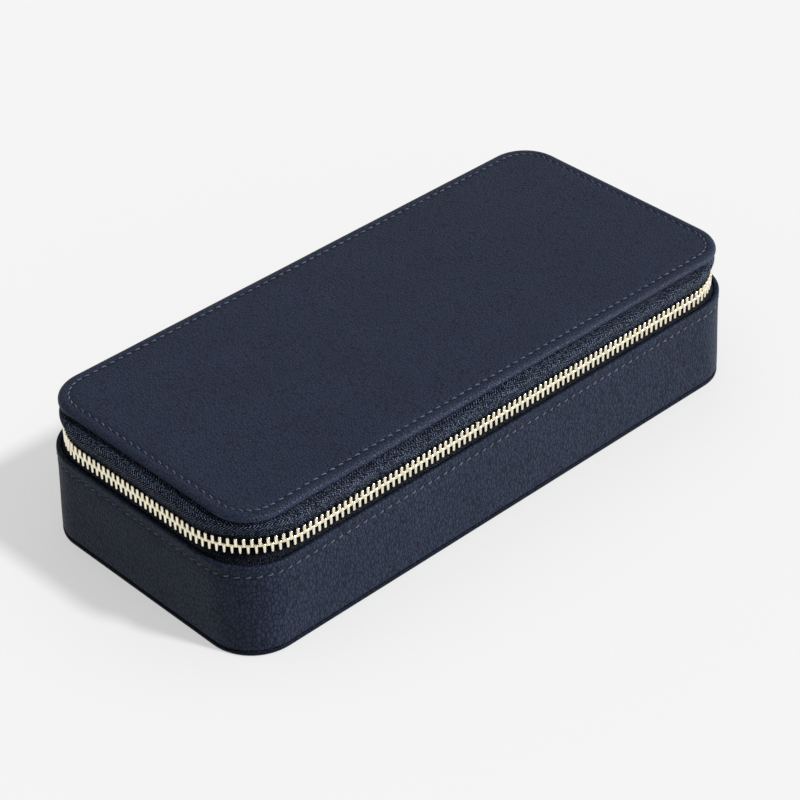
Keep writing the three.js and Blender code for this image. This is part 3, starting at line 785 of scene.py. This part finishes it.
def build_gussets():
    """Cloth flaps behind the ends of the strip, so that an open lid leaves no slit there."""
    depth, thick = 1.7, 0.4
    flap = [(depth, z) for z in (37.4, 39.4, 41.4, 43.4, 45.4, 47.6)]
    flap += [(depth + thick, z) for _, z in reversed(flap)]
    for side, name, first, last in ((1, "right", 78, 90), (-1, "left", 90, 102)):
        end = Run(ZIP, [turn(side, 1, math.radians(first), math.radians(last))])
        gusset = sweep(f"hinge_gusset_{name}", end, end.stations(4, 3), lambda s: flap, tape, None)
        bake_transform(gusset)


# -------- lid
LID_GROOVE = 3.8


def lid_profile():
    """The lid's edge: from its underside round the edge, then over the groove that is stitched."""
    g = LID_GROOVE
    return [
        (1.0, 52.62), (0.4, 52.6), (0.12, 52.75), (0.0, 53.1), (0.02, 53.6), (0.16, 54.05),
        (0.45, 54.45), (0.9, 54.75), (1.5, 54.93), (g - 1.5, 55.0), (g - 0.9, 54.93),
        (g - 0.35, 54.72), (g, 54.62), (g + 0.35, 54.74), (g + 1.0, 54.96),
        (g + 2.2, 55.05),
    ]


def build_lid():
    top = panel("lid_cover", lid_run, lid_profile(), leather, "lid", crown=0.25, waves=0.09)
    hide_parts("lid_leather")
    stitch_line("lid_stitches", lid_run, LID_GROOVE, 54.7, "up", "lid")


# -------- zip
def tape_edge(along_tape):
    """How far the tape's edge stands off the centre line: behind the teeth, or nearly meeting."""
    s = along_tape - TAPE_LEAD
    toothed = STOPS[0] < s < STOPS[1]
    return spread(s) + (TOOTH_ROOT - 0.4 if toothed else 0.3)


def upper_tape_section(s):
    """Up from behind the teeth, out in a swell below the lid, and under it; then back inside."""
    edge = ZIP_Z + tape_edge(s)
    outer = on(ZIP, (0.95, edge), (0.95, 47.3), (0.7, 47.9), (0.1, 48.5), (-0.4, 49.2))
    outer += on(ZIP, (-0.6, 49.9), (-0.45, 50.6), (0.1, 51.15), (1.0, 51.45))
    outer += on(LID, (1.4, 51.75), (2.4, 52.0))
    inner = on(LID, (2.4, 51.6), (1.6, 51.35))
    inner += on(ZIP, (1.4, 51.1), (0.5, 50.7), (0.1, 49.9), (0.6, 48.8), (1.45, 47.8), (1.45, edge))
    return outer + inner


def lower_tape_section(s):
    """Up from inside the wall to behind the teeth, and back."""
    edge = ZIP_Z - tape_edge(s)
    section = on(WALL, (2.05, 28.3), (2.05, 35.8))
    section += on(ZIP, (0.95, 36.9), (0.95, edge), (1.45, edge), (1.45, 37.2))
    return section + on(WALL, (2.6, 36.2), (2.6, 28.3))


def tooth_shape():
    """A tooth with x along the zip, y outward and z from the tape to the centre line."""
    rod = rounded_box((-0.57, -1.2, -3.1), (0.57, 1.2, 0.5), 0.48)
    head = rounded_box((-0.72, -0.8, -0.4), (0.72, 1.05, 0.6), 0.4)
    return merged(rod, head)


def tooth_rows():
    """Both rows of teeth, half a pitch apart, each tooth with a slight lean of its own."""
    most_lean = 0.02
    for side, body, first in ((1, "lid", PITCH), (-1, "case", PITCH / 2)):
        frames = []
        last = SLIDER_AT - SLIDER_HALF - 0.3 if side > 0 else CHAIN_END
        s = first
        while s < last - 0.6:
            origin, tangent, normal, _ = chain.frame(s, CHAIN_DEPTH, ZIP_Z + side * spread(s))
            lean = most_lean * rng.uniform(-1, 1)
            tangent = tuple(t + lean * n for t, n in zip(tangent, normal))
            frames.append((origin, tangent, normal, (0, 0, -side)))
            s += PITCH
        prefix = "upper" if side > 0 else "lower"
        row = scatter(f"{prefix}_tooth_row", tooth_shape(), frames, gold, body)
        weld(row, 1e-7)
        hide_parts(f"{prefix}_teeth", f"{prefix}_teeth_right")
        cord_on_tape(prefix, side, body, last)


def cord_on_tape(prefix, side, body, last):
    """The corded edge of the tape that the teeth are clamped to."""
    radius, off_centre = 0.6, 2.25

    def section(s):
        middle = ZIP_Z + side * (spread(s) + off_centre)
        turned = [(radius * math.cos(a), radius * math.sin(a)) for a in circle(10)]
        return [(CHAIN_DEPTH + across, middle + up) for across, up in turned]

    stations = chain.stations(6, 5, 0, last, extra=[SLIDER_AT + d for d in PARTING])
    # Its near-black cloth is painted shade.
    cord = sweep(f"{prefix}_tape_cord", chain, stations, section, shaded_cord_cloth, body)


def build_zip():
    marks = [TAPE_LEAD + e + d for e in STOPS for d in (-0.2, 0.2)]
    marks += [TAPE_LEAD + SLIDER_AT + d for d in PARTING]
    marks += [TAPE_LEAD + CHAIN_END + d for d in MEETING]
    stations = tape_run.stations(4, 4, extra=marks)
    for name, section, body, node in (
        ("upper_tape", upper_tape_section, "lid", "upper_zip_tape"),
        ("lower_tape", lower_tape_section, "case", "lower_zip_tape"),
    ):
        piece = sweep(name, tape_run, stations, section, tape, body)
        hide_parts(node)
    tooth_rows()
    pull_trim()


def pull_trim():
    """A raised wire border and a raised leaf on both faces of the pull."""
    x0 = ZIP[0] / 2 - CHAIN_DEPTH + PIN_OUT
    wide, tip = 2.65, -20.4
    blade = [(-1.55, -3.4), (-1.75, -5.2), (-wide, -19)]
    turns = np.linspace(0.1, 3.04, 13)
    blade += [(-wide * math.cos(a), tip - wide * math.sin(a)) for a in turns]
    blade += [(wide, -19), (1.75, -5.2), (1.55, -3.4)]
    leaf = [(1.3 * math.sin(math.pi * k / 10), -8 - 11 * k / 10) for k in range(11)]
    shapes = []
    for side in (-1, 1):
        x = x0 + side * 0.5
        rim = [(x, SLIDER_Y + y, ZIP_Z + z) for y, z in blade]
        shapes.append(tube(rim + rim[:1], 0.28, sides=7))
        for half in (-1, 1):
            edge = [(x, SLIDER_Y + half * y, ZIP_Z + z) for y, z in leaf]
            shapes.append(tube(edge, 0.2, sides=6))
    points, faces = merged(*shapes)
    trim = mesh_object("pull_trim", points, faces, gold, "zip_pull")
    weld(trim, 1e-7)


# -------- inside the case
def soft_bar(name, profile, half, place, turned, node, wrinkle=0.25, reach=None):
    """A stuffed bar along Y, or along X when turned: a (across, z) profile drawn in at its ends.

    reach gives the furthest distance along the bar at a point across it, where a corner cuts in.
    """
    middle = sum(z for _, z in profile) / len(profile)
    ease = min(2.2, max(abs(u) for u, _ in profile) * 0.9)
    steps = [half - ease + ease * math.sin(QUARTER * k / 4) for k in range(5)]
    inner = [(half - ease) * k / 12 for k in range(12)]
    along = [-v for v in reversed(inner[1:] + steps)] + inner + steps
    rows = []
    for v in along:
        beyond = max(0, abs(v) - (half - ease)) / ease
        inset = ease * (1 - math.sqrt(max(0, 1 - beyond**2)))
        row = []
        for u, z in profile:
            away = Vector((u, z - middle))
            puff = wrinkle * noise.noise(Vector((u + 3 * place[0], v, z)) / 7)
            away *= max(0.2, 1 + (puff - inset) / max(away.length, 1))
            limit = reach(away.x) if reach else half
            row.append((away.x, max(-limit, min(limit, v)), middle + away.y))
        rows.append(row)
    count = len(profile)
    points = []
    for row in rows:
        for u, v, z in row:
            x, y = (v, u) if turned else (u, v)
            points.append((place[0] + x, place[1] + y, z))
    faces = rows_joined(len(rows), count)
    faces.append(tuple(range(count)))
    faces.append(tuple((len(rows) - 1) * count + k for k in range(count)))
    bar = mesh_object(name, points, faces, velvet, "case")
    weld(bar, 1e-6)
    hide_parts(node)


def roll_profile():
    radius = ROLL_WIDTH / 2 - 0.15
    bottom = FLOOR_Z + 0.3
    centre = ROLL_TOP - 0.2 - radius
    foot = [(u, bottom) for u in np.linspace(-radius + 1.4, radius - 1.4, 5)]
    right = [(radius - 0.5, bottom + 0.4), (radius - 0.15, bottom + 2), (radius, bottom + 5)]
    turns = np.linspace(0, math.pi, 17)
    dome = [(radius * math.cos(a), centre + radius * math.sin(a)) for a in turns]
    return foot + right + dome + [(-u, z) for u, z in reversed(right)]


def divider_profile():
    half = DIVIDER / 2
    top = DIVIDER_TOP - half
    levels = np.linspace(FLOOR_Z + 0.25, top, 9)
    side = [(half * (0.93 + 0.07 * math.sin(3.1 * k)), z) for k, z in enumerate(levels)]
    dome = [(half * math.cos(a), top + half * math.sin(a)) for a in np.linspace(0.3, 2.84, 7)]
    return side + dome + [(-u, z) for u, z in reversed(side)]


def corner_reach(x):
    """How far out in Y the cavity goes at x, in its rounded corners."""
    radius = WALL[2] - CAVITY
    into = max(0.0, abs(x) - (CAVITY_X - radius))
    return CAVITY_Y - radius + math.sqrt(max(0.01, radius**2 - into**2)) - 0.1


def build_fittings():
    for i in range(ROLL_COUNT):
        x = -CAVITY_X + (i + 0.5) * ROLL_PITCH
        name, node = f"ring_cushion_{i + 1}", f"ring_roll_{i + 1}"
        fit = {"reach": lambda u, x=x: corner_reach(x + u)}
        soft_bar(name, roll_profile(), CAVITY_Y - 0.1, (x, 0), False, node, **fit)
    length = CAVITY_X - BAY_START
    clear = DIVIDER / 2 + 0.3
    cross = CAVITY_Y - clear
    profile = divider_profile()
    for name, half, place, turned in (
        ("ring_bay", CAVITY_Y, (RING_DIVIDER_X, 0), False),
        ("lengthwise", length / 2, (BAY_START + length / 2, 0), True),
        ("cross_front", cross / 2, (BAY_START + length / 2, -clear - cross / 2), False),
        ("cross_rear", cross / 2, (BAY_START + length * 0.66, clear + cross / 2), False),
    ):
        node = f"divider_{name}"
        soft_bar(f"padded_{node}", profile, half - 0.05, place, turned, node, wrinkle=0.1)
    build_lining()


def build_lining():
    section = [
        (6.35, 4.5), (6.35, 35.3), (3.45, 35.5), (3.3, 36.1), (3.7, 36.6), (4.7, 36.8),
        (5.9, 36.8), (7.0, 36.5), (7.4, 35.9), (7.35, 34.0), (7.35, 20.0), (7.35, 4.5),
    ]
    stations = wall_run.stations(3, 5)
    lining = sweep("velvet_lining", wall_run, stations, lambda s: section, velvet, "case")
    ripple(lining, 0.1, 6)
    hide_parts("wall_lining")
    edge = Run(WALL, ALL_ROUND, 6, closed=True)
    stitch_line("lining_stitches", edge, 5.9, 36.8, "up", "case")
    profile = [
        (9.5, 4.45), (8.3, 4.5), (7.8, 4.9), (7.72, 5.8), (7.9, 6.5), (8.6, 6.85),
        (9.8, 6.9),
    ]
    look = {"crown": 0.1, "waves": 0.1, "both": True}
    floor = panel("velvet_floor", wall_run, profile, velvet, "case", **look)
    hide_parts("floor_pad")


# -------- inside the lid
def build_lid_fittings():
    section = [(4.8, 49.5), (4.8, 48.2), (5.1, 47.8), (5.8, 47.8)]
    section += [(6.2, 48.2), (6.2, 50.7), (5.5, 50.7)]
    stations = wall_run.stations(4, 5)
    rim = sweep("lid_rim_cover", wall_run, stations, lambda s: section, velvet, "lid")
    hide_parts("lid_rim_core")
    profile = [
        (9.5, 51.75), (7.4, 51.7), (6.6, 51.2), (6.45, 50.2), (6.45, 49.2), (6.75, 48.4),
        (7.5, 48.0), (9.2, 47.9),
    ]
    pad = panel("lid_velvet", wall_run, profile, velvet, "lid", crown=-0.08, waves=0.08, both=True)
    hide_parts("lid_pad")
    build_hooks()
    build_pocket()


def build_hooks():
    outline = (FITTING_LENGTH, 12, 3, 0, HOOK_Y)
    run = Run(outline, ALL_ROUND, closed=True)
    top, under = FITTING_TOP, FITTING_TOP - 1.3
    profile = [(1.4, top), (0.4, top - 0.1), (0.05, top - 0.4), (0.05, under + 0.4)]
    profile += [(0.4, under + 0.08), (1.2, under), (1.8, under + 0.1), (2.4, under)]
    strip = panel("hook_leather", run, profile, leather, "lid", waves=0.02, both=True)
    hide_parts("hook_strip")
    seam = Run(outline, ALL_ROUND, 1.8, closed=True)
    stitch_line("hook_strip_stitches", seam, 1.8, under + 0.08, "down", "lid")
    rivets = []
    for i in range(HOOK_COUNT):
        x = (i - (HOOK_COUNT - 1) / 2) * HOOK_PITCH
        for side in (-1, 1):
            origin = (x + RIVET_OUT * side, HOOK_Y, under)
            rivets.append((origin, (1, 0, 0), (0, -1, 0), (0, 0, -1)))
    made = scatter("hook_rivets", dome_shape(1.15, 0.5), rivets, gold, "lid")


def dome_shape(radius, height, sides=16):
    """A rivet head lying on z = 0, domed up, with a small flat in the middle."""
    points, faces = [(0, 0, height)], []
    levels = [(0.35, 1), (0.7, 0.78), (0.93, 0.4), (1.0, 0.0), (0.9, -0.15)]
    for share, lift in levels:
        for a in circle(sides):
            x, y = radius * share * math.cos(a), radius * share * math.sin(a)
            points.append((x, y, height * lift))
    faces += [(0, 1 + k, 1 + (k + 1) % sides) for k in range(sides)]
    for i in range(len(levels) - 1):
        for k in range(sides):
            m = (k + 1) % sides
            a, b = 1 + i * sides, 1 + (i + 1) * sides
            faces.append((a + k, b + k, b + m, a + m))
    return points, faces


def build_pocket():
    """A gathered velvet pocket, shut by an elastic band along its mouth."""
    half = FITTING_LENGTH / 2
    across, deep = 120, 14
    low, high = POCKET_MOUTH_Y + 2.1, POCKET_END_Y - 0.4
    points, faces = [], []
    for layer in (0, 1):
        for j in range(deep + 1):
            v = j / deep
            for i in range(across + 1):
                u = 2 * i / across - 1
                edge = min(1, (1 - abs(u)) * 14, (1 - v) * 7 + 0.15)
                fold = 0.5 + 0.5 * math.sin(u * 92 + 3 * noise.noise(Vector((u * 6, v, 0))))
                sag = 1.3 + 0.75 * fold * (1 - v) ** 1.5
                sag += 0.3 * noise.noise(Vector((u * 9, v * 3, 5)))
                z = FITTING_TOP - (0.05 if layer == 0 else min(2.2, 0.25 + sag * math.sqrt(edge)))
                points.append((u * half, low + v * (high - low), z))
    width = across + 1
    size = width * (deep + 1)
    for j in range(deep):
        for i in range(across):
            a = j * width + i
            faces.append((a, a + 1, a + width + 1, a + width))
            faces.append((size + a, size + a + width, size + a + width + 1, size + a + 1))
    rim = list(range(width)) + [j * width + across for j in range(1, deep + 1)]
    rim += [deep * width + i for i in range(across - 1, -1, -1)]
    rim += [j * width for j in range(deep - 1, 0, -1)]
    faces += [(a, b, size + b, size + a) for a, b in zip(rim, rim[1:] + rim[:1])]
    pocket = mesh_object("gathered_pocket", points, faces, velvet, "lid")
    weld(pocket, 1e-6)
    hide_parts("lid_pocket")
    build_band()


def build_band():
    """The elastic band along the pocket's mouth, finely gathered and tapered at its ends."""
    half = FITTING_LENGTH / 2
    rows, sides = 241, 14
    points = []
    for i in range(rows):
        u = 2 * i / (rows - 1) - 1
        gather = 0.1 * math.sin(u * 230) + 0.06 * noise.noise(Vector((u * 60, 0, 0)))
        taper = min(1, math.sqrt((1 - abs(u)) * 40) + 0.25)
        for a in circle(sides):
            y = POCKET_MOUTH_Y + (1.25 + gather) * taper * math.cos(a)
            points.append((u * half, y, FITTING_TOP - 1.4 + (1.2 + gather) * taper * math.sin(a)))
    faces = rows_joined(rows, sides)
    faces += [tuple(range(sides)), tuple((rows - 1) * sides + k for k in range(sides))]
    band = mesh_object("elastic_band", points, faces, velvet_trim, "lid")
    weld(band, 1e-6)
    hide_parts("lid_pocket_band")


# -------- carried-over nodes
SLOT_MATERIALS = dict(leather=leather, zip_tape=tape, zip_metal=gold, board=board, lining=velvet)
EDGE_RADIUS, SHARP_ANGLE = 0.22, 40


def dress_nodes():
    """Gives every CAD node its slot's material, and rounds the metal ones' edges, teeth apart."""
    slots = {s["node"]: s["material_slot"] for s in frame["record"]["subparts"]}
    for name, node in frame["nodes"].items():
        node.data.materials.clear()
        node.data.materials.append(SLOT_MATERIALS[slots[name]])
        if slots[name] == "zip_metal" and "teeth" not in name:
            bevel = node.modifiers.new("rounded_edges", "BEVEL")
            bevel.width = EDGE_RADIUS * MM
            bevel.segments = 3
            bevel.limit_method = "ANGLE"
            bevel.angle_limit = math.radians(SHARP_ANGLE)
            bevel.harden_normals = True


# -------- studio
# Each sun's direction, energy and angle across, in degrees.
KEY = (0.36, -0.78, 1.0), 2.58, 7
FILL = (1.1, -1.0, 0.14), 4.3, 20
SKY_STRENGTH = 0.5
FLOOR_HALF, FLOOR_GLOW, FLOOR_TONES = 4.0, 0.46, ((0, 0.404), (1, 0.41))


def sun(name, direction, energy, angle):
    light = bpy.data.lights.new(name, "SUN")
    light.energy = energy
    light.angle = math.radians(angle)
    lamp = bpy.data.objects.new(name, light)
    lamp.rotation_euler = Vector(direction).to_track_quat("Z", "Y").to_euler()
    show(lamp)
    return lamp


def studio():
    scene = bpy.context.scene
    scene.view_settings.view_transform = "Standard"
    scene.view_settings.look = "None"
    world = bpy.data.worlds.new("studio")
    world.use_nodes = True
    sky = world.node_tree.nodes["Background"].inputs
    sky["Color"].default_value = (1, 1, 1, 1)
    sky["Strength"].default_value = SKY_STRENGTH
    scene.world = world
    sun("key", *KEY)
    fill = sun("front_fill", *FILL)
    mesh = bpy.data.meshes.new("floor")
    corners = [(FLOOR_HALF * x, FLOOR_HALF * y, 0) for x, y in ((-1, -1), (1, -1), (1, 1), (-1, 1))]
    mesh.from_pydata(corners, [], [(0, 1, 2, 3)])
    n = Nodes("studio_floor").set(Specular_IOR_Level=0.0, Roughness=0.9)
    n.set(Emission_Color=(1, 1, 1, 1), Emission_Strength=FLOOR_GLOW)
    n.finish(Base_Color=n.ramp(n.noise(1.5, 2), *FLOOR_TONES))
    mesh.materials.append(n.material)
    floor = bpy.data.objects.new("floor", mesh)
    show(floor)
    # The fill lights the case alone, so it leaves no second shadow on the floor.
    left_out = bpy.data.collections.new("not_filled")
    left_out.objects.link(floor)
    left_out.collection_objects[0].light_linking.link_state = "EXCLUDE"
    fill.light_linking.receiver_collection = left_out


CAMERA_ANGLES = (-42.925, 35.846, -1.319)  # azimuth, elevation and roll, in degrees
# In metres: how far off the camera is, and how far right and down it is slid.
CAMERA_DISTANCE, CAMERA_SHIFT, CAMERA_DROP = 0.92845, -0.00013, 0.00684
AIM = (0, 0, 0.027)
LENS, SENSOR_WIDTH = 118.35, 36


def camera():
    """Looks down on the front left corner from a long way off."""
    azimuth, elevation, roll = (math.radians(a) for a in CAMERA_ANGLES)
    level, rise = math.cos(elevation), math.sin(elevation)
    back = Vector((math.sin(azimuth) * level, -math.cos(azimuth) * level, rise))
    right = (-back).cross(Vector((0, 0, 1))).normalized()
    up = right.cross(-back)
    tilted_right = right * math.cos(roll) + up * math.sin(roll)
    tilted_up = up * math.cos(roll) - right * math.sin(roll)
    data = bpy.data.cameras.new("camera")
    data.lens = LENS
    data.sensor_width = SENSOR_WIDTH
    seen_from = bpy.data.objects.new("camera", data)
    axes = Matrix((tilted_right, tilted_up, back)).transposed().to_4x4()
    place = Vector(AIM) + back * CAMERA_DISTANCE
    place = place + tilted_right * CAMERA_SHIFT - tilted_up * CAMERA_DROP
    seen_from.matrix_world = Matrix.Translation(place) @ axes
    show(seen_from)
    bpy.context.scene.camera = seen_from


camera()
studio()
dress_nodes()
build_case()
build_lid()
build_zip()
build_fittings()
build_lid_fittings()
